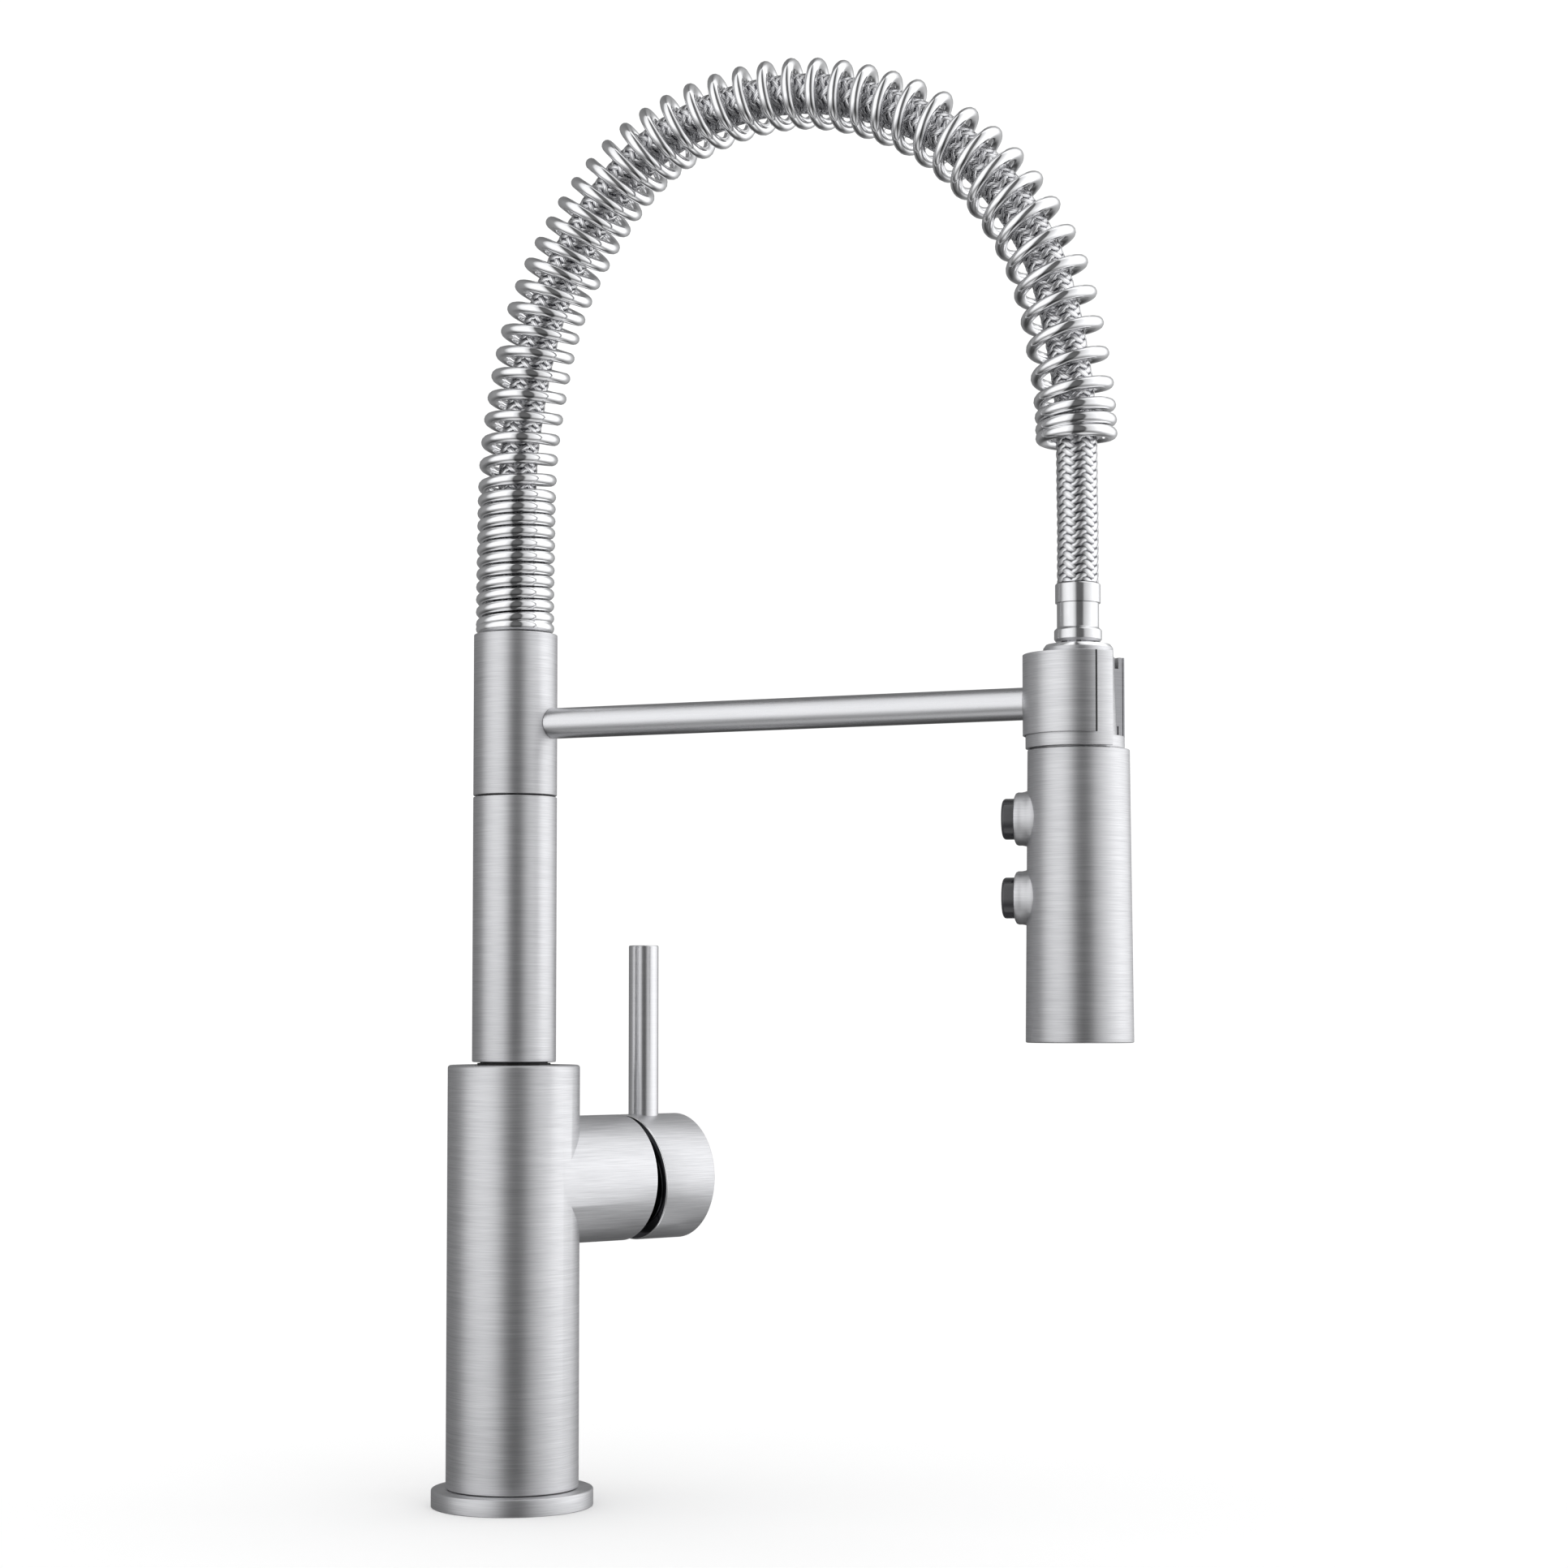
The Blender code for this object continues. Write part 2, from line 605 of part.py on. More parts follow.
def make_hose_end(spray):
    bulb = (
        (5.9, 298.2), (7.2, 298.2), (7.95, 299.2), (7.95, 301.8), (7.0, 302.8), (7.0, 310.3),
        (7.55, 311.0), (7.55, 317.1), (7.3, 317.6), (5.9, 317.6),
    )
    turned("hose_ferrule", bulb, POLISHED, spray)
    turned(
        "hose_end_stem",
        (
            (2.2, 266.5), (5.3, 266.5), (5.3, 290.0), (7.8, 290.0), (7.8, 292.9), (5.3, 292.9),
            (5.3, 302.3), (3.4, 302.3), (3.4, 314.0), (2.2, 314.0),
        ),
        BRASS, spray,
    )
    o_ring("stem_seal_lower", 5.6, 7.9, 271.5, RUBBER, spray)
    o_ring("stem_seal_upper", 5.6, 7.9, 276.5, RUBBER, spray)


def make_head(spray, button_axes):
    turned(
        "spray_collar",
        (
            (8.2, 250.0), (14.6, 250.0), (14.6, 262.4), (15.3, 262.4), (15.3, 266.4),
            (12.6, 266.4), (11.6, 296.4), (11.1, 297.2), (6.2, 297.2), (6.2, 293.2), (8.2, 293.2),
        ),
        BRUSHED, spray,
    )
    outer = (
        (0.0, HEAD_LOW), (HEAD_LOW_R - 0.5, HEAD_LOW), (HEAD_LOW_R, HEAD_LOW + 0.5),
        (HEAD_TOP_R, HEAD_TOP - 0.4), (HEAD_TOP_R - 0.4, HEAD_TOP), (0.0, HEAD_TOP),
    )
    inner_low = HEAD_LOW_R - HEAD_WALL
    inner_top = HEAD_TOP_R - HEAD_WALL
    hollow = (
        (0.0, HEAD_LOW - 1.0), (inner_low, HEAD_LOW - 1.0), (inner_top, HEAD_TOP + 1.0),
        (0.0, HEAD_TOP + 1.0),
    )
    boss = (
        (7.1, 13.3), (9.7, 13.3), (9.7, 15.6), (9.2, 17.3), (8.9, 18.6),
        (8.9, 20.2), (8.1, 21.1), (7.1, 21.1),
    )
    pocket = (
        (0.0, 6.5), (2.6, 6.5), (2.6, 10.2), (5.2, 10.2), (5.2, 12.8), (10.2, 12.8),
        (10.2, 20.0), (0.0, 20.0),
    )
    shell = turned("spray_shell", outer, BRUSHED, spray, sides=ROUND_SIDES, start=2.5)
    core = ring("valve_core", 3.5, 14.6, 184.0, 249.7, PLASTIC, spray)
    combine(shell, cutter("head_hollow", turned_mesh("head_hollow", hollow), spray))
    for label, axis in button_axes.items():
        combine(shell, drill(f"button_bore_{label}", 8.3, 5.0, 25.0, axis))
        combine(shell, cutter(f"boss_{label}", turned_mesh("boss", boss), axis), "UNION")
        combine(core, cutter(f"pocket_{label}", turned_mesh("pocket", pocket), axis))
    ring("check_valve", 3.0, 7.9, 252.0, 265.0, DARK_PLASTIC, spray)
    ring("flow_seal", 8.0, 14.3, 181.3, 183.7, RUBBER, spray)
    ring("spray_diffuser", 7.4, 15.2, 174.6, 181.0, DARK_PLASTIC, spray)
    ring("spray_face", 7.4, 15.5, 166.0, 174.3, DARK_PLASTIC, spray)
    ring("aerator_housing", 5.2, 7.1, 166.3, 180.0, PLASTIC, spray)
    turned("aerator_screen", ((0, 168), (4.9, 168), (4.9, 169.2), (0, 169.2)), STEEL, spray)


def make_button(label, axis):
    outline = (
        (0.0, 8.9), (2.2, 8.9), (2.2, 15.6), (6.8, 15.6), (6.8, 24.3), (6.4, 25.0),
        (5.7, 25.3), (0.0, 25.3),
    )
    turned(f"button_{label}", outline, DARK_PLASTIC, axis)
    rings = []
    steps = 24
    for k in range(steps + 1):
        a = 2 * math.pi * 3.0 * k / steps
        outward = np.array((math.cos(a), math.sin(a), 0.0))
        middle = 3.7 * outward + np.array((0.0, 0.0, 10.8 + 4.2 * k / steps))
        up = np.array((0.0, 0.0, 1.0))
        rings.append([middle + 0.4 * w for w in (outward, up, -outward, -up)])
    loft(f"button_spring_{label}", rings, STEEL).parent = axis


def main():
    clear_scene()
    upright = Matrix.Identity(4)
    up_to_axis = Matrix(((0, math.sin(HANDLE_TURN), math.cos(HANDLE_TURN)),
                         (0, -math.cos(HANDLE_TURN), math.sin(HANDLE_TURN)),
                         (1, 0, 0))).to_4x4()
    handle = empty("handle_axis", (0, 0, HANDLE_Z), up_to_axis)
    tilt = empty("tilt_axis", (0, 0, TILT_PIVOT), upright, handle)
    holder_axis = empty("holder_axis", (SPRAY_X, 0, 0), upright)
    spray = empty("spray_axis", (SPRAY_X, 0, 0), Matrix.Rotation(HEAD_TURN, 4, "Z"))
    outward = Matrix.Rotation(math.radians(90.0), 4, "Y")
    button_axes = {
        label: empty(f"button_axis_{label}", (0, 0, z), outward, spray)
        for label, z in BUTTON_HEIGHTS.items()
    }
    ports = make_ports(handle)
    make_base()
    make_body(handle, ports)
    make_swivel_parts()
    make_cartridge(handle, ports)
    make_stem_carrier(tilt)
    make_lever(tilt)
    make_column()
    make_arm(holder_axis)
    make_holder(holder_axis)
    make_hose()
    make_spring()
    make_hose_end(spray)
    make_head(spray, button_axes)
    for label, axis in button_axes.items():
        make_button(label, axis)


main()
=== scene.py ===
"""Looks of the pull-down kitchen faucet: fine surfaces, arch spring, braid and brushed steel.

Outlines and lengths are millimetres and become metres in the mesh helpers.
"""

import json
import math

import bmesh
import bpy
import numpy as np
from mathutils import Matrix, Vector

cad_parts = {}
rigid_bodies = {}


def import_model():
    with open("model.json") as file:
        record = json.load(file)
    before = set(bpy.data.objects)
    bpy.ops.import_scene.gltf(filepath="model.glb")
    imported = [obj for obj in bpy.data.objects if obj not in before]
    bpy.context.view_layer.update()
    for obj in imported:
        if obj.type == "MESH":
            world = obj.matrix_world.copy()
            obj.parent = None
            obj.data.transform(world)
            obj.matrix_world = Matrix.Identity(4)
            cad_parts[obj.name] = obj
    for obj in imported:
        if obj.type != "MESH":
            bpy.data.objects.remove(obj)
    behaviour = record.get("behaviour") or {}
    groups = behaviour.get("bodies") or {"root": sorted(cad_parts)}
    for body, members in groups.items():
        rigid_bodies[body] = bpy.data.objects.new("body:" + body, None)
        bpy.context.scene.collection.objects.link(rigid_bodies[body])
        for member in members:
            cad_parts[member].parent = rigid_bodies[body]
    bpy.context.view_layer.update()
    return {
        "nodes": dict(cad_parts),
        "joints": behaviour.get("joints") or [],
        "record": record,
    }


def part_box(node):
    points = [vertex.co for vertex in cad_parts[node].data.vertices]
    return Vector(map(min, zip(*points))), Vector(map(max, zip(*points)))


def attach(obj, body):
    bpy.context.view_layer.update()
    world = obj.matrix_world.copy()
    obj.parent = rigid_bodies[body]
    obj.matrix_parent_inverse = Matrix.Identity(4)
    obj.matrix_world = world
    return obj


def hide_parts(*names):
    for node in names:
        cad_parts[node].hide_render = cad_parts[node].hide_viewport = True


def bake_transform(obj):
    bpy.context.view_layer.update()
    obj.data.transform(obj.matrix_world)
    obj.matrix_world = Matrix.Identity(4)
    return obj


for thing in list(bpy.data.objects):
    bpy.data.objects.remove(thing, do_unlink=True)
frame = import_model()

MM = 0.001
FINE = 160

# Joint axes and places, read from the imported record
JOINTS = {joint["name"]: joint for joint in frame["joints"]}
HANDLE_AXIS = Vector(JOINTS["lever_temperature"]["axis"])
HANDLE_Z = JOINTS["lever_temperature"]["pos_m"][2] / MM
TILT_POINT = Vector(JOINTS["lever_flow"]["pos_m"])
TILT_PIVOT = TILT_POINT.xy.length / MM
SPRAY_X = JOINTS["spray_turn"]["pos_m"][0] / MM
BUTTON_OUT = -Vector(JOINTS["press_upper_button"]["axis"])
UP = Vector((0, 0, 1))

# Camera
VIEW_TURN = math.radians(23.65)
VIEW_RIGHT = Vector((math.cos(VIEW_TURN), math.sin(VIEW_TURN), 0.0))
VIEW_BACK = Vector((math.sin(VIEW_TURN), -math.cos(VIEW_TURN), 0.0))
CAMERA_PLACE = VIEW_RIGHT * 0.0967 + VIEW_BACK * 1.1214 + UP * 0.1756
CAMERA_LENS = 71.74
CAMERA_PITCH = math.radians(2.86)
CAMERA_SHIFT = 0.045


# ---- materials -------------------------------------------------------------------


class Nodes:
    """Short-hand for building a material's node tree."""

    def __init__(self, name):
        self.material = bpy.data.materials.new(name)
        self.material.use_nodes = True
        self.tree = self.material.node_tree
        self.shader = self.tree.nodes["Principled BSDF"]

    def node(self, kind, **settings):
        made = self.tree.nodes.new(kind)
        for key, value in settings.items():
            if key in made.inputs:
                made.inputs[key].default_value = value
            else:
                setattr(made, key, value)
        return made

    def link(self, source, target):
        self.tree.links.new(source, target)

    def position(self):
        return self.node("ShaderNodeTexCoord").outputs["Object"]

    def maths(self, operation, a, b):
        made = self.node("ShaderNodeMath", operation=operation)
        for slot, value in zip(made.inputs, (a, b)):
            if isinstance(value, (int, float)):
                slot.default_value = value
            else:
                self.link(value, slot)
        return made.outputs[0]

    def along(self, vector, axis):
        """Dot product of a vector with a constant direction."""
        made = self.node("ShaderNodeVectorMath", operation="DOT_PRODUCT")
        self.link(vector, made.inputs[0])
        made.inputs[1].default_value = axis
        return made.outputs["Value"]

    def vector(self, x, y, z):
        made = self.node("ShaderNodeCombineXYZ")
        for slot, value in zip(made.inputs, (x, y, z)):
            self.link(value, slot)
        return made.outputs[0]

    def noise(self, vector, scale, detail=2.0, roughness=0.5):
        made = self.node("ShaderNodeTexNoise", Scale=scale, Detail=detail, Roughness=roughness)
        self.link(vector, made.inputs["Vector"])
        return made.outputs["Fac"]

    def ramp(self, value, *stops):
        made = self.node("ShaderNodeValToRGB")
        elements = made.color_ramp.elements
        elements[0].position = stops[0][0]
        elements[1].position = stops[-1][0]
        for place, colour in stops[1:-1]:
            elements.new(place)
        for element, (place, colour) in zip(elements, stops):
            element.color = (*colour, 1.0)
        self.link(value, made.inputs["Fac"])
        return made.outputs["Color"]

    def bump(self, height, strength, distance):
        made = self.node("ShaderNodeBump", Strength=strength, Distance=distance)
        self.link(height, made.inputs["Height"])
        self.link(made.outputs["Normal"], self.shader.inputs["Normal"])

    def set(self, **values):
        for key, value in values.items():
            self.shader.inputs[key.replace("_", " ")].default_value = value


def grey(level, tint=0.012):
    return (level, level, level + tint)


def brushed_steel(name, grain, spread, tone=0.62, roughness=0.43, contrast=0.16):
    """Stainless steel brushed along a direction; grain gives the streaks' coordinates.

    grain is a list of (direction, scale): a small scale along the streaks, large ones across.
    spread is the direction the brushing smears highlights in, across the streaks.
    """
    n = Nodes(name)
    place = n.position()
    scaled = [n.maths("MULTIPLY", n.along(place, d), s) for d, s in grain]
    streak_space = n.vector(*scaled)
    fine = n.noise(streak_space, 1.0, detail=2.0, roughness=0.6)
    broad = n.noise(streak_space, 0.35, detail=2.0)
    both = n.maths("ADD", n.maths("MULTIPLY", fine, 0.75), n.maths("MULTIPLY", broad, 0.25))
    low = grey(tone * (1.0 - contrast))
    high = grey(tone * (1.0 + contrast))
    n.link(n.ramp(both, (0.30, low), (0.70, high)), n.shader.inputs["Base Color"])
    smudge = n.noise(place, 35.0, detail=3.0)
    rough = n.maths("ADD", n.maths("MULTIPLY", both, 0.10), n.maths("MULTIPLY", smudge, 0.04))
    n.link(n.maths("ADD", rough, roughness - 0.07), n.shader.inputs["Roughness"])
    n.bump(both, 0.04, 0.0001)
    n.set(Metallic=1.0, Anisotropic=0.40)
    tangent = n.node("ShaderNodeCombineXYZ", X=spread[0], Y=spread[1], Z=spread[2])
    n.link(tangent.outputs[0], n.shader.inputs["Tangent"])
    return n.material


def steel_across(name, axis, length=75.0, width=4000.0, **looks):
    """Brushed round its axis, as a lathe-polished tube is: streaks run round, highlights along."""
    others = sorted(
        (Vector(v) for v in ((1, 0, 0), (0, 1, 0), (0, 0, 1))), key=lambda v: abs(v.dot(axis))
    )
    first = (others[0] - axis * others[0].dot(axis)).normalized()
    second = axis.cross(first)
    grain = [(first, length), (second, length), (axis, width)]
    return brushed_steel(name, grain, axis, **looks)


def steel_lengthwise(name, axis, length=75.0, width=3300.0, **looks):
    """Brushed along its axis."""
    first = axis.orthogonal().normalized()
    second = axis.cross(first)
    grain = [(first, width), (second, width), (axis, length)]
    return brushed_steel(name, grain, second, **looks)


def polished_metal(name, tone=0.82, roughness=0.07, tint=0.008):
    """Bright metal with faint polishing haze."""
    n = Nodes(name)
    haze = n.noise(n.position(), 260.0, detail=4.0)
    colour = n.ramp(haze, (0.35, grey(tone * 0.95, tint)), (0.65, grey(tone, tint)))
    n.link(colour, n.shader.inputs["Base Color"])
    n.link(n.maths("ADD", n.maths("MULTIPLY", haze, 0.05), roughness - 0.025), n.shader.inputs["Roughness"])
    n.set(Metallic=1.0)
    return n.material


def braid_steel(name):
    """Flat bundles of fine steel wires.  U runs across a strand; V is 1 where it lies on top. Strands are
    painted dark where they pass under others, as painted shade, and bright where they lie on top, as painted
    highlight.
    """
    n = Nodes(name)
    parts = n.node("ShaderNodeSeparateXYZ")
    n.link(n.node("ShaderNodeTexCoord").outputs["UV"], parts.inputs[0])
    wires = n.maths("SINE", n.maths("MULTIPLY", parts.outputs["X"], 2 * math.pi * 4.0), 0.0)
    tone = n.noise(n.position(), 1400.0, detail=2.0)
    shade = n.maths("ADD", n.maths("MULTIPLY", wires, 0.06), n.maths("MULTIPLY", tone, 0.16))
    shade = n.maths("ADD", n.maths("SUBTRACT", shade, 0.08), parts.outputs["Y"])
    n.link(
        n.ramp(shade, (0.08, grey(0.04)), (0.40, grey(0.24)), (0.70, grey(0.62)), (1.0, grey(0.80))),
        n.shader.inputs["Base Color"],
    )
    n.bump(wires, 0.3, 0.00006)
    n.set(Metallic=1.0, Roughness=0.22)
    return n.material


def moulded(name, colour, roughness=0.4, coat=0.0, grain=1800.0, metallic=0.0):
    """Plastic or rubber with a fine moulded texture and slight tone changes."""
    n = Nodes(name)
    place = n.position()
    texture = n.noise(place, grain, detail=2.0)
    cloud = n.noise(place, 60.0, detail=3.0)
    dark = tuple(c * 0.82 for c in colour)
    light = tuple(min(1.0, c * 1.15) for c in colour)
    n.link(n.ramp(cloud, (0.3, dark), (0.7, light)), n.shader.inputs["Base Color"])
    n.link(n.maths("ADD", n.maths("MULTIPLY", texture, 0.12), roughness - 0.06), n.shader.inputs["Roughness"])
    n.bump(texture, 0.06, 0.0001)
    n.set(Metallic=metallic, Coat_Weight=coat, Coat_Roughness=0.08)
    return n.material


# ---- mesh helpers ------------------------------------------------------------------


def link_mesh(name, bm, materials, sharp=32.0):
    bmesh.ops.recalc_face_normals(bm, faces=bm.faces)
    mesh = bpy.data.meshes.new(name)
    bm.to_mesh(mesh)
    bm.free()
    for material in materials:
        mesh.materials.append(material)
    mesh.shade_smooth()
    mesh.set_sharp_from_angle(angle=math.radians(sharp))
    piece = bpy.data.objects.new(name, mesh)
    bpy.context.scene.collection.objects.link(piece)
    return piece


def place_on(axis, origin):
    """Matrix that stands Z along an axis through origin, with X as near up or +X as can be."""
    z = Vector(axis).normalized()
    hint = UP if abs(z.z) < 0.9 else Vector((1, 0, 0))
    x = (hint - z * hint.dot(z)).normalized()
    y = z.cross(x)
    return Matrix.Translation(Vector(origin)) @ Matrix((x, y, z)).transposed().to_4x4()


def rounded(outline, radii, steps=4):
    """Round an outline's corners: radii maps a corner's index to its radius."""
    points = []
    count = len(outline)
    for k, corner in enumerate(outline):
        radius = radii.get(k, 0.0)
        if not radius:
            points.append(corner)
            continue
        p = Vector(corner)
        a = Vector(outline[k - 1]) - p
        b = Vector(outline[(k + 1) % count]) - p
        half = a.angle(b) / 2.0
        cut = radius / math.tan(half)
        start = p + a.normalized() * cut
        end = p + b.normalized() * cut
        centre = p + (a.normalized() + b.normalized()).normalized() * (radius / math.sin(half))
        first = start - centre
        sweep = first.angle_signed(end - centre)
        for j in range(steps + 1):
            turn = Matrix.Rotation(-sweep * j / steps, 2)
            q = centre + turn @ first
            points.append((q.x, q.y))
    return points


def turned(name, outline, material, axis=UP, origin=(0, 0, 0), sides=FINE, start=0.0, sweep=360.0):
    """Spin an (r, z) outline about an axis.  An outline that starts at r = 0 is a solid."""
    bm = bmesh.new()
    turn = Matrix.Rotation(math.radians(start), 3, "Z")
    points = [bm.verts.new(turn @ Vector((r, 0.0, z)) * MM) for r, z in outline]
    edges = [bm.edges.new(pair) for pair in zip(points, points[1:])]
    if outline[0][0] > 0.0:
        edges.append(bm.edges.new((points[-1], points[0])))
    spun = bmesh.ops.spin(
        bm, geom=points + edges, cent=(0, 0, 0), axis=(0, 0, 1),
        angle=math.radians(sweep), steps=sides,
    )
    if sweep < 360.0:
        last = [item for item in spun["geom_last"] if isinstance(item, bmesh.types.BMVert)]
        bm.faces.new(points)
        bm.faces.new(last)
    bmesh.ops.remove_doubles(bm, verts=bm.verts, dist=1e-7)
    bm.transform(place_on(axis, Vector(origin) * MM))
    return link_mesh(name, bm, [material])


def carve(piece, other, operation="DIFFERENCE"):
    """Apply a boolean and drop the other shape; face materials come along."""
    modifier = piece.modifiers.new("carve", "BOOLEAN")
    modifier.operation = operation
    modifier.solver = "EXACT"
    modifier.object = other
    apply_modifiers(piece)
    bpy.data.objects.remove(other, do_unlink=True)
    return piece


def apply_modifiers(piece):
    graph = bpy.context.evaluated_depsgraph_get()
    graph.update()
    mesh = bpy.data.meshes.new_from_object(piece.evaluated_get(graph))
    piece.modifiers.clear()
    piece.data = mesh
    mesh.shade_smooth()
    mesh.set_sharp_from_angle(angle=math.radians(32.0))
    return piece


def plain_cylinder(radius, low, high, material, axis=UP, origin=(0, 0, 0), sides=96):
    outline = ((0.0, low), (radius, low), (radius, high), (0.0, high))
    return turned("tool", outline, material, axis, origin, sides)


def paint(piece, material, chosen):
    """Give the faces whose middle is chosen another material."""
    index = len(piece.data.materials)
    piece.data.materials.append(material)
    for face in piece.data.polygons:
        if chosen(face.center):
            face.material_index = index


def stands_for(piece, body, slot, *nodes):
    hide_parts(*nodes)
    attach(piece, body)
    return piece


# ---- base, body and handle -----------------------------------------------------------

FLANGE_R = 28.8
BODY_R = 23.6
BODY_TOP = 156.2
COLUMN_R = 15.0
HOUSING_R = 23.0
HOUSING_END = 47.6
KNOB_FACE = 51.6
KNOB_FACE_SLOPE = 0.1
KNOB_END = 74.2
KNOB_BEVEL = 0.4
RIM_FROM_R = 22.5
HOLDER_R = 18.5
CUT_GAP = 0.12


def make_materials():
    return {
        "upright": steel_across("steel_upright", UP),
        "holder": steel_across("steel_holder", UP, tone=0.68),
        # Darker copy of the upright steel, painted shade on the holder's back cut faces
        "cut": steel_across("steel_cut_shade", UP, tone=0.32),
        "handle": steel_lengthwise("steel_handle", HANDLE_AXIS),
        "arm": steel_lengthwise("steel_arm", Vector((1, 0, 0)), tone=0.66, roughness=0.28, contrast=0.05),
        "lever": steel_across("steel_lever", UP, tone=0.64, roughness=0.30, contrast=0.05),
        "chrome": polished_metal("chrome_spring", tone=0.86),
        "ferrule": polished_metal("chrome_ferrule", tone=0.72, roughness=0.16),
        # Bright polished metal painted on edges as painted highlight lines
        "edge_highlight": polished_metal("painted_edge_highlight", tone=0.95, roughness=0.12),
        # Near-black polished metal, painted shade of the gap between housing and knob
        "trim": polished_metal("gap_shade_metal", tone=0.08, roughness=0.10),
        "shadow": moulded("shadow_black", (0.008, 0.008, 0.009), roughness=0.5),
        "braid": braid_steel("braid_strands"),
        "rubber": moulded("rubber_black", (0.012, 0.012, 0.013), roughness=0.6),
        "button": moulded("button_gloss", (0.018, 0.018, 0.021), roughness=0.12, coat=0.6, grain=900.0),
        "face": moulded("spray_face_plastic", (0.03, 0.03, 0.032), roughness=0.35),
        "pale": moulded("plastic_pale", (0.55, 0.55, 0.53), roughness=0.45),
        "ceramic": moulded("ceramic_white", (0.80, 0.80, 0.77), roughness=0.2),
        "brass": moulded("brass_turned", (0.62, 0.44, 0.20), roughness=0.3, metallic=1.0, grain=500.0),
        "plain": moulded("steel_plain", (0.50, 0.50, 0.52), roughness=0.3, metallic=1.0, grain=700.0),
    }


SLOT_MATERIALS = {
    "brushed_steel": "upright", "polished_steel": "chrome", "turned_brass": "brass",
    "plain_steel": "plain", "steel_braid": "braid", "seal_rubber": "rubber",
    "pale_plastic": "pale", "dark_plastic": "face", "ceramic": "ceramic",
}


# Nodes seen only through narrow gaps, darkened or plain
NODE_MATERIALS = {
    "swivel_stem": "shadow", "swivel_bushing_upper": "shadow", "swivel_seal_upper": "shadow",
    "column_coupler": "shadow", "spring_seat": "shadow", "hose_end_stem": "plain",
    "cartridge_nut": "shadow", "stem_carrier": "shadow", "cartridge_body": "shadow",
    "lever_stem": "shadow",
}


def finish_cad_nodes(looks):
    """Give every carried-over node its own material, or that of its slot."""
    for row in frame["record"]["subparts"]:
        node = frame["nodes"][row["node"]]
        look = NODE_MATERIALS.get(row["node"], SLOT_MATERIALS[row["material_slot"]])
        node.data.materials.clear()
        node.data.materials.append(looks[look])


def make_base(looks):
    steel = looks["upright"]
    outline = ((18.0, 0.0), (FLANGE_R, 0.0), (FLANGE_R, 6.2), (18.0, 6.2))
    outline = rounded(outline, {1: 0.3, 2: 0.6})
    stands_for(turned("base_ring", outline, steel), "base", "brushed_steel", "base_flange")

    body_outline = ((0.0, 6.5), (BODY_R, 6.5), (BODY_R, BODY_TOP), (0.0, BODY_TOP))
    body = turned("body_shell", rounded(body_outline, {1: 0.4, 2: 1.0}), steel)
    housing_outline = ((0.0, 0.0), (HOUSING_R, 0.0), (HOUSING_R, HOUSING_END), (0.0, HOUSING_END))
    seat = (0, 0, HANDLE_Z)
    housing = turned(
        "housing", rounded(housing_outline, {2: 0.35}), looks["handle"], HANDLE_AXIS, seat
    )
    carve(body, housing, "UNION")
    carve(body, plain_cylinder(20.0, 30.0, 55.0, looks["shadow"], HANDLE_AXIS, seat))
    carve(body, plain_cylinder(16.5, 150.0, 160.0, looks["shadow"]))
    stands_for(body, "base", "brushed_steel", "main_body")

    # Painted highlight: the housing's outer end edge gets bright polished metal
    paint(body, looks["edge_highlight"], lambda p: on_rim(p, HOUSING_END - 0.4, HOUSING_END))

    trim = ((17.0, 38.4), (19.8, 38.4), (19.8, 47.0), (18.0, 47.2), (18.0, 50.2), (17.0, 50.2))
    trim = rounded(trim, {2: 0.5, 4: 0.4})
    # The trim ring is near-black polished metal as painted shade of the gap; its top edge is painted bright
    # as a painted highlight
    ring = turned("housing_trim", trim, looks["trim"], HANDLE_AXIS, seat)
    paint(ring, looks["edge_highlight"], lambda p: handle_place(p)[0] > 49.7)
    stands_for(ring, "base", "polished_steel", "trim_ring")


def handle_place(point):
    """Distance along the handle's axis and away from it, in millimetres."""
    local = (point - Vector((0, 0, HANDLE_Z * MM))) / MM
    along = local.dot(HANDLE_AXIS)
    return along, (local - HANDLE_AXIS * along).length


def on_rim(point, low, high):
    """Whether a point is on a bevelled outer edge, between two distances along the handle's axis."""
    along, away = handle_place(point)
    return low < along < high and away > RIM_FROM_R


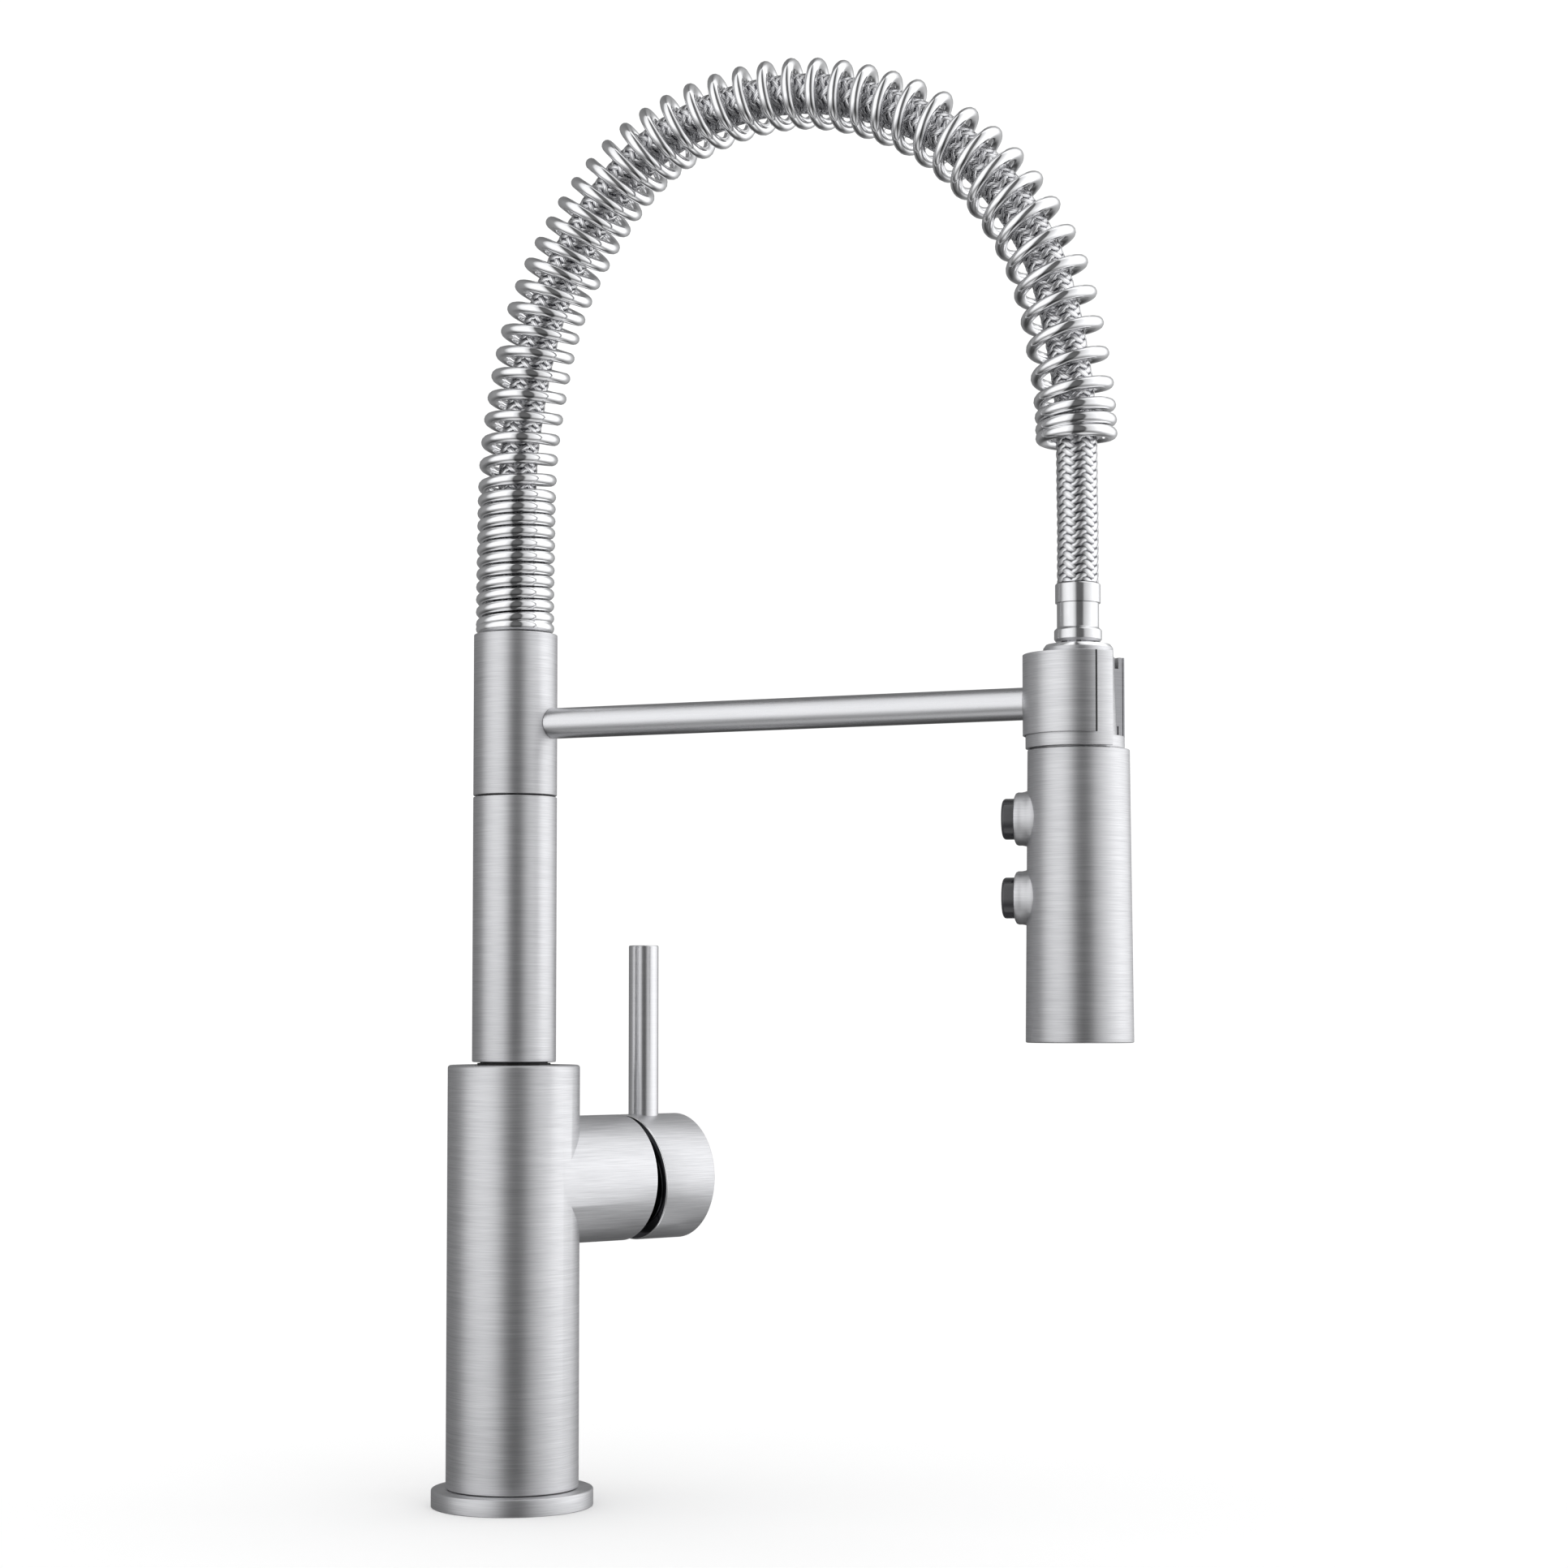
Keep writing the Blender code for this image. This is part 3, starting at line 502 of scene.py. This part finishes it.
def make_lever(looks):
    face = KNOB_FACE - TILT_PIVOT
    end = KNOB_END - TILT_PIVOT
    outline = (
        (0.0, 28.5), (9.0, 28.5), (9.0, 31.0), (19.5, 31.0), (19.5, face), (HOUSING_R, face),
        (HOUSING_R, end), (0.0, end),
    )
    outline = rounded(outline, {5: KNOB_BEVEL, 6: 0.5})
    knob = turned("lever_knob_shell", outline, looks["handle"], HANDLE_AXIS, TILT_POINT / MM)
    inside = KNOB_FACE + 3.6
    bore = HOUSING_R - KNOB_BEVEL
    # Painted shade: the knob's inside, seen through the gap, gets near-black polished metal
    paint(knob, looks["trim"], lambda p: handle_place(p)[0] < inside and handle_place(p)[1] < bore)
    # Painted highlight: the knob's outer front edge gets bright polished metal
    paint(knob, looks["edge_highlight"], lambda p: on_rim(p, KNOB_FACE, KNOB_FACE + 0.5))
    for vertex in knob.data.vertices:
        local = vertex.co - TILT_POINT
        if local.dot(HANDLE_AXIS) < (face + 0.6) * MM:
            vertex.co -= HANDLE_AXIS * (KNOB_FACE_SLOPE * local.z)
    stands_for(knob, "lever", "brushed_steel", "lever_knob")

    lever_d = 58.6
    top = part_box("lever_rod")[1].z / MM
    foot = HANDLE_AXIS * lever_d
    outline = ((0.0, HANDLE_Z + 20.0), (5.5, HANDLE_Z + 20.0), (5.5, top), (0.0, top))
    rod = turned("lever_rod_fine", rounded(outline, {2: 0.45}), looks["lever"], UP, foot, sides=96)
    tool = plain_cylinder(HOUSING_R + CUT_GAP, 40.0, 80.0, looks["lever"], HANDLE_AXIS, (0, 0, HANDLE_Z))
    stands_for(carve(rod, tool), "lever", "brushed_steel", "lever_rod")


# ---- column, arm and holder --------------------------------------------------------------


def make_column(looks):
    steel = looks["upright"]
    low, high = (v.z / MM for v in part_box("column_tube"))
    outline = ((12.5, low), (COLUMN_R, low), (COLUMN_R, high), (12.5, high))
    tube = turned("column_lower", rounded(outline, {1: 0.4, 2: 0.35}), steel)
    stands_for(tube, "spout", "brushed_steel", "column_tube")
    low, high = (v.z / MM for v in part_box("column_sleeve"))
    outline = ((12.5, low), (COLUMN_R, low), (COLUMN_R, high), (12.5, high))
    sleeve = turned("column_upper", rounded(outline, {1: 0.35, 2: 0.4}), steel)
    stands_for(sleeve, "spout", "brushed_steel", "column_sleeve")

    low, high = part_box("support_arm")
    radius = (high.z - low.z) / 2 / MM
    height = (high.z + low.z) / 2 / MM
    arm = plain_cylinder(radius, 12.0, 197.0, looks["arm"], Vector((1, 0, 0)), (0, 0, height))
    arm.name = "arm_rod"
    carve(arm, plain_cylinder(COLUMN_R + CUT_GAP, height - 9, height + 9, looks["arm"]))
    holder_cut = plain_cylinder(
        HOLDER_R + CUT_GAP, height - 9, height + 9, looks["arm"], UP, (SPRAY_X, 0, 0)
    )
    carve(arm, holder_cut)
    stands_for(arm, "spout", "brushed_steel", "support_arm")


OPEN_BACK = 51.6
SHELL_FRONT = -54.0
LINER_FRONT = -32.0


def round_holder(point):
    """Angle about the holder's axis from +X, in degrees, and distance from it, in millimetres."""
    local = point.xy / MM - Vector((SPRAY_X, 0))
    return math.degrees(math.atan2(local.y, local.x)), local.length


def in_shell_shadow(point):
    """Whether a point of the liner's outside is next to the shell's front edge."""
    angle, radius = round_holder(point)
    return radius > 17.5 and 0.0 < angle - SHELL_FRONT < 2.7 and point.z > 270.0 * MM


def on_back_cut(point):
    return abs(round_holder(point)[0] - OPEN_BACK) < 0.05


def on_front_cut(point):
    return abs(round_holder(point)[0] - SHELL_FRONT) < 0.05


def make_holder(looks):
    where = {"origin": (SPRAY_X, 0, 0), "start": OPEN_BACK}
    low, high = (v.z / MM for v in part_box("holder_shell"))
    outline = ((17.9, low), (HOLDER_R, low), (HOLDER_R, high), (17.9, high))
    sweep = 360.0 - OPEN_BACK + SHELL_FRONT
    shell = turned("holder_clip", rounded(outline, {1: 0.2, 2: 0.2}), looks["holder"], sweep=sweep, **where)
    # Painted highlight on the shell's front cut face; painted shade on its back cut face
    paint(shell, looks["edge_highlight"], on_front_cut)
    paint(shell, looks["cut"], on_back_cut)
    stands_for(shell, "spout", "brushed_steel", "holder_shell")
    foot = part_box("holder_liner")[0].z / MM
    outline = (
        (13.2, low), (15.5, low), (15.5, low + 3.9), (16.0, low + 3.9), (16.0, foot), (17.6, foot),
        (17.6, low), (17.6, high), (16.1, high), (16.1, high - 3.8), (14.6, high - 3.8),
        (14.6, high), (13.2, high),
    )
    outline = rounded(outline, {0: 0.2, 4: 0.2, 5: 0.2, 7: 0.2, 8: 0.2, 11: 0.2, 12: 0.3})
    sweep = 360.0 - OPEN_BACK + LINER_FRONT
    liner = turned("holder_insert", outline, looks["holder"], sweep=sweep, **where)
    height = (low + high) / 2 - 2.1
    carve(liner, plain_cylinder(4.4, 12.0, 18.0, looks["upright"], Vector((-1, 0, 0)), (SPRAY_X, 0, height)))
    paint(liner, looks["shadow"], in_shell_shadow)
    # Painted shade: the liner's back cut face gets the darker steel
    paint(liner, looks["cut"], on_back_cut)
    stands_for(liner, "spout", "brushed_steel", "holder_liner")


# ---- arch: spring and hose ---------------------------------------------------------------

HOSE_LOW = 284.3
HOSE_END = 317.9
ARCH = (
    (0.0, HOSE_LOW), (-0.2, 335.0), (2.5, 387.0), (17.6, 439.3), (55.0, 482.7), (110.0, 495.5),
    (163.1, 476.5), (197.4, 436.4), (210.6, 388.2), (SPRAY_X, 345.0), (SPRAY_X, HOSE_END),
)
SPRING_R = 12.0
WIRE_R = 2.1
SPRING_START = 28.6
FIRST_TURN = 0.25
# Sections of the spring as (turns, pitch)
SECTIONS = (
    (1.0, 0.3), (11.25, 4.44), (19.0, 7.79), (10.0, 8.92), (12.0, 10.19), (1.0, 6.7), (2.0, 4.4),
    (0.75, 1.33),
)
TOTAL_TURNS = sum(turns for turns, pitch in SECTIONS)
SPLIT_X = 161.0


def arch_curve(samples_per_span=60):
    """Points of a smooth curve through ARCH, and the arc length at each."""
    knots = np.array(ARCH, float)
    padded = np.vstack((2 * knots[0] - knots[1], knots, 2 * knots[-1] - knots[-2]))
    chord = np.sqrt(np.linalg.norm(np.diff(padded, axis=0), axis=1))
    t = np.concatenate(([0.0], np.cumsum(chord)))
    points = []
    for k in range(1, len(padded) - 2):
        for u in np.linspace(t[k], t[k + 1], samples_per_span, endpoint=False):
            row = [padded[k + j - 1] for j in range(4)]
            time = [t[k + j - 1] for j in range(4)]
            row = [mix(row[j], row[j + 1], time[j], time[j + 1], u) for j in range(3)]
            row = [mix(row[j], row[j + 1], time[j], time[j + 2], u) for j in range(2)]
            points.append(mix(row[0], row[1], time[1], time[2], u))
    points.append(knots[-1])
    points = np.array(points)
    steps = np.linalg.norm(np.diff(points, axis=0), axis=1)
    return points, np.concatenate(([0.0], np.cumsum(steps)))


def mix(a, b, low, high, u):
    return (a * (high - u) + b * (u - low)) / (high - low)


CURVE, ARC = arch_curve()
SLOPE = np.column_stack([np.gradient(CURVE[:, k], ARC) for k in (0, 1)])
SIDE = np.array((0.0, 1.0, 0.0))


def arch_frames(stations):
    """Centre, in-plane normal and tangent at each arc length along the arch."""
    centre = [np.interp(stations, ARC, CURVE[:, k]) for k in (0, 1)]
    tangent = np.column_stack([np.interp(stations, ARC, SLOPE[:, k]) for k in (0, 1)])
    tangent /= np.linalg.norm(tangent, axis=1)[:, None]
    zero = np.zeros(len(stations))
    return (
        np.column_stack((centre[0], zero, centre[1])),
        np.column_stack((tangent[:, 1], zero, -tangent[:, 0])),
        np.column_stack((tangent[:, 0], zero, tangent[:, 1])),
    )


SPLIT_ARC = np.interp(SPLIT_X, CURVE[:, 0], ARC)


def sweep_rows(bm, rows, across=None, lifts=None):
    """Skin closed rows of points.  across gives each column's U and lifts each row's V."""
    made = [[bm.verts.new(Vector(p) * MM) for p in row] for row in rows]
    columns = len(made[0])
    for j, (low, high) in enumerate(zip(made, made[1:])):
        for k in range(columns):
            n = (k + 1) % columns
            face = bm.faces.new((low[k], low[n], high[n], high[k]))
            if across:
                layer = bm.loops.layers.uv.verify()
                corners = ((k, j), (n, j), (n, j + 1), (k, j + 1))
                for loop, (column, row) in zip(face.loops, corners):
                    loop[layer].uv = (across[column], lifts[row])
    bm.faces.new(made[0])
    bm.faces.new(made[-1])


def spring_stations(count):
    """Arc length of each turn count, with the changes of pitch softened."""
    turns = np.cumsum((0.0, *(s[0] for s in SECTIONS)))
    marks = SPRING_START + np.cumsum((0.0, *(s[0] * s[1] for s in SECTIONS)))
    soft = [np.interp(count + d, turns, marks) for d in (-0.35, 0.0, 0.35)]
    inner = (count > 1.0) & (count < TOTAL_TURNS - 1.0)
    return np.where(inner, sum(soft) / 3.0, np.interp(count, turns, marks))


def spring_radius(stations):
    """The turns narrow where the arch bends most, and a little towards the far end."""
    far = np.clip((stations - 200.0) / 240.0, 0.0, 1.0)
    bend = np.exp(-(((stations - 283.0) / 65.0) ** 2))
    return SPRING_R - 1.7 * bend - 0.4 * far * far * (3.0 - 2.0 * far)


def spring_rows(first, last, per_turn=40, sides=14):
    steps = int(round((last - first) * per_turn))
    count = np.linspace(first, last, steps + 1)
    stations = spring_stations(count)
    rows = []
    for c, n, t, turn, radius in zip(*arch_frames(stations), count, spring_radius(stations)):
        a = 2 * math.pi * (FIRST_TURN + turn)
        outward = math.cos(a) * n + math.sin(a) * SIDE
        middle = c + radius * outward
        rows.append([
            middle + WIRE_R * (math.cos(b) * outward + math.sin(b) * t)
            for b in np.linspace(0.0, 2 * math.pi, sides, endpoint=False)
        ])
    return rows


def make_spring(looks):
    whole = np.arange(0.0, TOTAL_TURNS)
    split = float(np.searchsorted(spring_stations(whole), SPLIT_ARC))
    for name, first, last in (("spring_near", 0.0, split), ("spring_far", split, TOTAL_TURNS)):
        bm = bmesh.new()
        sweep_rows(bm, spring_rows(first, last))
        coil = link_mesh(name, bm, [looks["chrome"]], sharp=50.0)
        follow_hose(coil, far=last == TOTAL_TURNS)
        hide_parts("spring_coil")


def follow_hose(piece, far):
    """The near half stays on the column; the far half is baked in place and attached to no body."""
    if far:
        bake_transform(piece)
    else:
        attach(piece, "spout")


BRAID_COUNT = 12
BRAID_LEAD = 34.8
BRAID_R = 6.62
BRAID_WAVE = 0.13
STRAND_THICK = 0.22
CORE_R = 6.35
BRAID_STEP = 0.75
CORE_STEP = 3.0


def strand_rows(index, hand, stations, frames):
    """One flat strand, over and under two at a time, and how high it lies at each station.

    hand is +1 or -1, the way the strand winds.
    """
    centre, normal, __ = frames
    turn_rate = 2 * math.pi / BRAID_LEAD
    width_angle = 2 * math.pi / BRAID_COUNT * 0.96
    columns = np.linspace(-0.5, 0.5, 5)
    crown = (0.0, 0.75, 1.0, 0.75, 0.0)
    passed = turn_rate * stations * BRAID_COUNT / math.pi
    if hand > 0:
        over = np.cos(2 * math.pi * (2 * index + passed - 0.5) / 4)
    else:
        over = -np.cos(2 * math.pi * (2 * index - passed - 0.5) / 4)
    rows = []
    lifts = np.tanh(1.6 * over)
    for c, n, s, lift in zip(centre, normal, stations, lifts):
        base = 2 * math.pi * index / BRAID_COUNT + hand * turn_rate * s
        row = []
        for column, rise in zip(columns, crown):
            a = base + column * width_angle
            radius = BRAID_R + BRAID_WAVE * lift + STRAND_THICK * rise
            row.append(c + radius * (math.cos(a) * n + math.sin(a) * SIDE))
        for column in columns[::-1]:
            a = base + column * width_angle
            radius = BRAID_R + BRAID_WAVE * lift - 0.12
            row.append(c + radius * (math.cos(a) * n + math.sin(a) * SIDE))
        rows.append(row)
    # The lift also becomes V, which the braid material turns into painted shade under other strands and
    # painted highlight on top
    return rows, (lifts + 1.0) / 2.0


def make_hose(looks):
    total = ARC[-1]
    for name, first, last in (("near", 0.0, SPLIT_ARC), ("far", SPLIT_ARC, total)):
        stations = np.linspace(first, last, int((last - first) / BRAID_STEP) + 1)
        frames = arch_frames(stations)
        bm = bmesh.new()
        across = [0.0, 0.25, 0.5, 0.75, 1.0, 1.0, 0.75, 0.5, 0.25, 0.0]
        for hand in (1, -1):
            for index in range(BRAID_COUNT):
                rows, lifts = strand_rows(index, hand, stations, frames)
                sweep_rows(bm, rows, across, lifts)
        braid = link_mesh(f"hose_braid_{name}", bm, [looks["braid"]], sharp=60.0)
        follow_hose(braid, far=name == "far")
        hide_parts("hose_braid")

        coarse = np.linspace(first, last, int((last - first) / CORE_STEP) + 1)
        centre, normal, __ = arch_frames(coarse)
        turns = np.linspace(0.0, 2 * math.pi, 40, endpoint=False)
        rows = [
            [c + CORE_R * (math.cos(a) * n + math.sin(a) * SIDE) for a in turns]
            for c, n in zip(centre, normal)
        ]
        bm = bmesh.new()
        sweep_rows(bm, rows)
        core = link_mesh(f"hose_core_{name}", bm, [looks["rubber"]])
        follow_hose(core, far=name == "far")
        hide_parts("hose_liner")


# ---- spray head ------------------------------------------------------------------------------


def make_hose_end(looks):
    outline = (
        (5.9, 298.2), (7.3, 298.2), (7.95, 299.0), (7.95, 302.0), (7.0, 302.9), (7.0, 310.3),
        (7.0, 311.0), (7.55, 311.2), (7.55, 317.3), (7.3, 317.6), (5.9, 317.6),
    )
    outline = rounded(outline, {2: 0.7, 3: 0.7, 4: 0.5}, steps=3)
    ferrule = turned("ferrule_fine", outline, looks["ferrule"], UP, (SPRAY_X, 0, 0), sides=96)
    stands_for(ferrule, "hose_end", "polished_steel", "hose_ferrule")


COLLAR_TOP = 297.2


def make_head(looks):
    steel = looks["upright"]
    here = (SPRAY_X, 0, 0)
    collar = (
        (8.2, 250.0), (14.6, 250.0), (14.6, 262.4), (15.3, 262.4), (15.3, 266.4), (12.6, 266.4),
        (11.6, 296.0), (10.7, COLLAR_TOP), (6.2, COLLAR_TOP), (6.2, 293.2), (8.2, 293.2),
    )
    collar = turned("collar_fine", rounded(collar, {4: 0.3, 6: 0.2, 7: 0.2}), steel, UP, here)
    # Painted highlight: the collar's top chamfer gets bright polished metal
    paint(collar, looks["edge_highlight"], lambda p: p.z > (COLLAR_TOP - 1.1) * MM and round_holder(p)[1] > 10.8)
    stands_for(collar, "spray_head", "brushed_steel", "spray_collar")

    low, high = 165.0, 262.1
    outline = ((0.0, low), (17.9, low), (16.95, high), (0.0, high))
    shell = turned("head_shell", rounded(outline, {1: 0.5, 2: 0.4}), steel, UP, here)
    boss = (
        (0.0, 8.0), (10.6, 8.0), (10.2, 15.2), (9.5, 16.6), (9.1, 17.8), (8.9, 18.9),
        (8.9, 20.1), (8.6, 20.75), (7.9, 21.1), (0.0, 21.1),
    )
    heights = [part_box(f"button_{label}") for label in ("upper", "lower")]
    middles = [(SPRAY_X, 0, (a.z + b.z) / 2 / MM) for a, b in heights]
    for middle in middles:
        carve(shell, turned("boss", boss, steel, BUTTON_OUT, middle, sides=96), "UNION")
    hollow = ((0.0, low - 1), (16.1, low - 1), (15.15, high + 1), (0.0, high + 1))
    carve(shell, turned("hollow", hollow, steel, UP, here))
    for middle in middles:
        carve(shell, plain_cylinder(7.05, 5.0, 25.0, steel, BUTTON_OUT, middle))
    stands_for(shell, "spray_head", "brushed_steel", "spray_shell")

    for label, middle in zip(("upper", "lower"), middles):
        outline = ((0.0, 15.6), (6.85, 15.6), (6.85, 25.3), (0.0, 25.3))
        cap = turned(
            f"button_cap_{label}", rounded(outline, {2: 1.1}, steps=6), looks["button"],
            BUTTON_OUT, middle, sides=96,
        )
        stands_for(cap, f"button_{label}", "dark_plastic", f"button_{label}")
        make_button_spring(label, middle[2], looks["plain"])


def make_button_spring(label, height, material, turns=3, low=10.8, high=15.0):
    """The return spring behind a button, squeezed between the head and the button."""
    across = UP.cross(BUTTON_OUT)
    rows = []
    for share in np.linspace(0.0, 1.0, turns * 24 + 1):
        a = 2 * math.pi * turns * share
        outward = across * math.cos(a) + UP * math.sin(a)
        middle = Vector((SPRAY_X, 0, height)) + BUTTON_OUT * (low + (high - low) * share) + outward * 3.7
        ring = [2 * math.pi * k / 8 for k in range(8)]
        rows.append([middle + (outward * math.cos(b) + BUTTON_OUT * math.sin(b)) * 0.4 for b in ring])
    bm = bmesh.new()
    sweep_rows(bm, rows)
    coil = link_mesh(f"button_coil_{label}", bm, [material], sharp=60.0)
    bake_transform(coil)
    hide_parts(f"button_spring_{label}")


# ---- floor, light and camera ---------------------------------------------------------------------


def emission(name, build):
    n = Nodes(name)
    n.tree.nodes.remove(n.shader)
    glow = n.node("ShaderNodeEmission")
    n.link(glow.outputs[0], n.tree.nodes["Material Output"].inputs["Surface"])
    build(n, glow)
    return n.material


# Brightness of the surroundings by direction: degrees to the right of the viewer, then height
TENT_ROUND = (
    (-180, 0.22), (-130, 0.28), (-98, 0.34), (-80, 1.05), (-55, 1.35), (-30, 1.30), (-15, 0.85),
    (-7, 0.15), (24, 0.14), (31, 0.72), (60, 1.25), (90, 1.75), (122, 1.35), (142, 0.60),
    (180, 0.22),
)
TENT_HEIGHT = (
    (-1.0, 0.60), (-0.85, 0.58), (-0.68, 0.26), (-0.55, 0.26), (-0.05, 1.0), (0.60, 1.0),
    (0.90, 0.85), (1.0, 0.85),
)
BRIGHTEST = 1.75


def tent_bands(n, glow):
    """Soft boxes to the left and right, flags in front, behind and low down."""
    parts = n.node("ShaderNodeSeparateXYZ")
    direction = n.node("ShaderNodeVectorMath", operation="NORMALIZE")
    n.link(n.position(), direction.inputs[0])
    n.link(direction.outputs[0], parts.inputs[0])
    angle = n.maths("ARCTAN2", parts.outputs["X"], parts.outputs["Y"])
    share = n.maths("ADD", n.maths("MULTIPLY", angle, -0.5 / math.pi), 0.5)
    level = [((a + 180) / 360, (b / BRIGHTEST,) * 3) for a, b in TENT_ROUND]
    rise = n.maths("ADD", n.maths("MULTIPLY", parts.outputs["Z"], 0.5), 0.5)
    height = [((a + 1) / 2, (b, b, b)) for a, b in TENT_HEIGHT]
    both = n.maths("MULTIPLY", n.ramp(share, *level), n.ramp(rise, *height))
    n.link(n.maths("MULTIPLY", both, BRIGHTEST), glow.inputs["Strength"])
    glow.inputs["Color"].default_value = (0.985, 0.99, 1.0, 1.0)


def seen_only_by(thing, camera=False, diffuse=False, glossy=False):
    thing.visible_camera = camera
    thing.visible_diffuse = diffuse
    thing.visible_glossy = glossy
    thing.visible_shadow = camera
    thing.visible_transmission = False


def make_studio():
    bm = bmesh.new()
    bmesh.ops.create_grid(bm, x_segments=1, y_segments=1, size=12.0)
    n = Nodes("floor_pale")
    cloud = n.noise(n.position(), 0.4)
    n.link(n.ramp(cloud, (0.0, (0.975,) * 3), (1.0, (0.985,) * 3)), n.shader.inputs["Base Color"])
    n.set(Roughness=1.0, Specular_IOR_Level=0.0)
    floor = link_mesh("floor", bm, [n.material])
    seen_only_by(floor, camera=True, diffuse=True)

    bm = bmesh.new()
    bmesh.ops.create_uvsphere(bm, u_segments=96, v_segments=48, radius=2.5)
    tent = link_mesh("light_tent", bm, [emission("tent_glow", tent_bands)])
    tent.rotation_euler.z = VIEW_TURN + math.pi
    seen_only_by(tent, glossy=True)

    world = bpy.data.worlds.new("studio")
    world.use_nodes = True
    background = world.node_tree.nodes["Background"]
    background.inputs["Color"].default_value = (1.0, 1.0, 1.0, 1.0)
    background.inputs["Strength"].default_value = 1.06
    world.cycles_visibility.glossy = False
    bpy.context.scene.world = world
    bpy.context.scene.view_settings.view_transform = "Standard"


def make_camera():
    data = bpy.data.cameras.new("camera")
    data.lens = CAMERA_LENS
    data.sensor_width = 36.0
    data.shift_y = CAMERA_SHIFT
    camera = bpy.data.objects.new("camera", data)
    bpy.context.scene.collection.objects.link(camera)
    camera.location = CAMERA_PLACE
    forward = -VIEW_BACK * math.cos(CAMERA_PITCH) + UP * math.sin(CAMERA_PITCH)
    camera.rotation_euler = forward.to_track_quat("-Z", "Y").to_euler()
    bpy.context.scene.camera = camera


make_camera()
make_studio()
looks = make_materials()
finish_cad_nodes(looks)
make_base(looks)
make_lever(looks)
make_column(looks)
make_holder(looks)
make_spring(looks)
make_hose(looks)
make_hose_end(looks)
make_head(looks)
